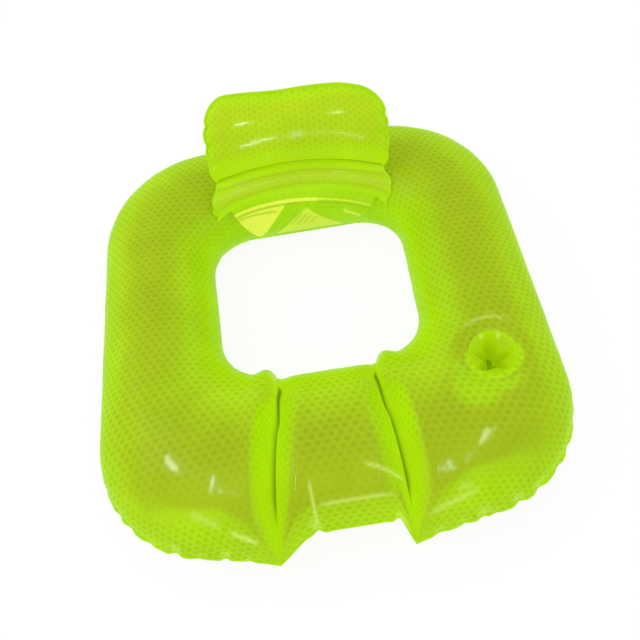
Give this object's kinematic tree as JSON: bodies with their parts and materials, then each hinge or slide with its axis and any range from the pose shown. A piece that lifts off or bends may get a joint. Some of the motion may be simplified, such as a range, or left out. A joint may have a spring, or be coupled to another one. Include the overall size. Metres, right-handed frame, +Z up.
{
  "type": "inflatable pool chair",
  "caption": "Inflatable floating seat: rounded square air ring around an open seat, cup well in one arm, and a pillow headrest on a flap.",
  "frame": {"origin": "on the floor, under the middle of the chair's length and width", "axes": "+Z up; +Y towards the back, where the headrest is; -Y towards the front, where the sitter's knees are; +X towards the right arm, which has the cup well, for someone facing +Y"},
  "size_m": [0.9266, 0.9465, 0.3954],
  "materials": {
    "lime_vinyl": "satin, slightly see-through",
    "flap_vinyl": "satin, single film",
    "valve_vinyl": "smooth, soft"
  },
  "bodies": {
    "ring": {"ring_top_sheet": "lime_vinyl", "ring_bottom_sheet": "lime_vinyl", "cup_well_sleeve": "lime_vinyl", "cup_well_base": "lime_vinyl", "ring_valve_base": "valve_vinyl"},
    "headrest": {"headrest_front_sheet": "lime_vinyl", "headrest_back_sheet": "lime_vinyl", "headrest_flap": "flap_vinyl", "headrest_valve_base": "valve_vinyl"},
    "ring_stem": {"ring_valve_stem": "valve_vinyl", "ring_valve_leaf": "valve_vinyl"},
    "ring_plug": {"ring_valve_plug": "valve_vinyl"},
    "headrest_stem": {"headrest_valve_stem": "valve_vinyl", "headrest_valve_leaf": "valve_vinyl"},
    "headrest_plug": {"headrest_valve_plug": "valve_vinyl"}
  },
  "joints": [
    {"name": "headrest_fold", "type": "hinge", "parent": "ring", "child": "headrest", "pos_m": [0, 0.29175, 0.03417], "axis": [1, 0, 0], "range_deg": [0, 65]},
    {"name": "ring_valve_slide", "type": "slide", "parent": "ring", "child": "ring_stem", "axis": [0, 0.8165, -0.5774], "range_m": [0, 0.008]},
    {"name": "ring_plug_flip", "type": "hinge", "parent": "ring_stem", "child": "ring_plug", "pos_m": [-0.16, 0.4509, 0.03901], "axis": [0, 0.5774, 0.8165], "range_deg": [0, 150]},
    {"name": "headrest_valve_slide", "type": "slide", "parent": "headrest", "child": "headrest_stem", "axis": [-0.2621, 0.8659, -0.4261], "range_m": [0, 0.008]},
    {"name": "headrest_plug_flip", "type": "hinge", "parent": "headrest_stem", "child": "headrest_plug", "pos_m": [-0.09764, 0.40151, 0.30509], "axis": [0, 0.4415, 0.8972], "range_deg": [0, 150]}
  ]
}
